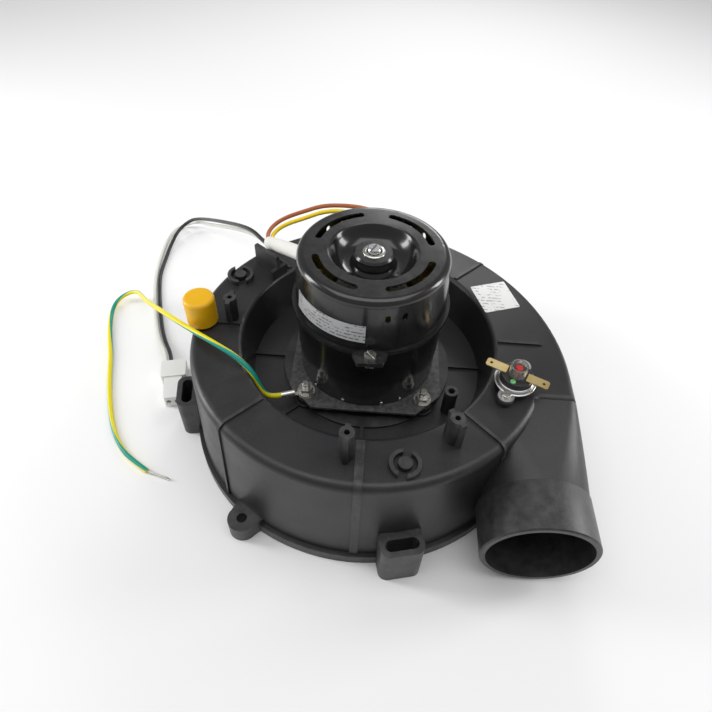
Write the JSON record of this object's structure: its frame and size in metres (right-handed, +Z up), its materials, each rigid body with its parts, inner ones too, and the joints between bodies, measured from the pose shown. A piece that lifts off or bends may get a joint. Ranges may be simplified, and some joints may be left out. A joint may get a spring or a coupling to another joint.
{
  "type": "combustion fan",
  "caption": "Furnace draft inducer: black scroll housing with a round side outlet, a gloss black motor sunk in its top, manual-reset limit switch, capped pressure port and wire leads.",
  "frame": {"origin": "centre of the base plane on the motor axis, which is the centre of the round-holed mounting lugs", "axes": "+Z up the motor axis away from the base, the outlet pipe points along -Y on the +X side"},
  "size_m": [0.36, 0.3383, 0.1494],
  "materials": {
    "housing_plastic": "moulded, fine orange-peel grain",
    "plated_steel": "bright plated",
    "gasket_foam": "closed-cell foam",
    "zinc_hardware": "bright zinc",
    "black_rubber": "matte",
    "black_steel": "satin black",
    "motor_black": "gloss black paint",
    "bearing_bronze": "sintered bronze",
    "lamination_steel": "stacked laminations",
    "winding_copper": "varnished wire",
    "shaft_steel": "ground steel",
    "cast_aluminium": "as cast",
    "white_nylon": "translucent white nylon",
    "impeller_plastic": "moulded, matte",
    "tin_terminal": "tinned",
    "phenolic": "moulded phenolic",
    "brass_terminal": "pale tinned brass",
    "clear_guard": "clear plastic tube",
    "red_button": "moulded",
    "yellow_vinyl": "soft vinyl",
    "white_label": "printed film, left blank",
    "silver_label": "silver film, left blank",
    "capacitor_plastic": "moulded box",
    "sleeve_cream": "soft sleeving",
    "black_wire": "insulation",
    "white_wire": "insulation",
    "yellow_wire": "insulation",
    "brown_wire": "insulation",
    "ground_wire": "yellow insulation with a green stripe",
    "tin_strands": "tinned strands"
  },
  "bodies": {
    "root": {"blower_housing": "housing_plastic", "back_plate": "plated_steel", "back_plate_gasket": "gasket_foam", "back_plate_screws": "zinc_hardware", "shaft_seal": "black_rubber", "motor_mount_plate": "black_steel", "rubber_isolators": "black_rubber", "mount_studs": "zinc_hardware", "flange_nuts": "zinc_hardware", "lower_motor_shell": "motor_black", "upper_motor_shell": "motor_black", "shell_screws": "zinc_hardware", "shell_nuts": "zinc_hardware", "lower_bearing": "bearing_bronze", "upper_bearing": "bearing_bronze", "stator_core": "lamination_steel", "stator_windings": "winding_copper", "ground_ring_terminal": "tin_terminal", "limit_switch_gasket": "gasket_foam", "limit_switch_flange": "plated_steel", "limit_switch_body": "phenolic", "limit_switch_terminals": "brass_terminal", "switch_guard": "clear_guard", "switch_screws": "zinc_hardware", "housing_label": "white_label", "motor_label": "silver_label", "run_capacitor": "capacitor_plastic", "capacitor_screws": "zinc_hardware", "capacitor_terminals": "tin_terminal", "lead_receptacles": "white_nylon", "power_connector": "white_nylon", "connector_contacts": "tin_terminal", "lead_bushing": "sleeve_cream", "lead_sleeve": "sleeve_cream", "black_lead": "black_wire", "white_lead": "white_wire", "yellow_lead": "yellow_wire", "brown_lead": "brown_wire", "ground_wire": "ground_wire", "ground_strands": "tin_strands"},
    "rotor": {"motor_shaft": "shaft_steel", "rotor_core": "lamination_steel", "rotor_end_rings": "cast_aluminium", "thrust_washers": "white_nylon", "motor_cooling_fan": "white_nylon", "heat_slinger": "cast_aluminium", "impeller": "impeller_plastic", "impeller_clip": "shaft_steel"},
    "reset_button": {"reset_button": "red_button"},
    "port_cap": {"port_cap": "yellow_vinyl"}
  },
  "joints": [
    {"name": "rotor_spin", "type": "hinge", "parent": "root", "child": "rotor", "pos_m": [0, 0, 0.1], "axis": [0, 0, 1], "continuous": true},
    {"name": "reset_button_press", "type": "slide", "parent": "root", "child": "reset_button", "axis": [0, 0, -1], "range_m": [0, 0.0015], "stiffness_N_per_m": 300},
    {"name": "port_cap_pull", "type": "slide", "parent": "root", "child": "port_cap", "axis": [0, 0, 1], "range_m": [0, 0.025]}
  ]
}
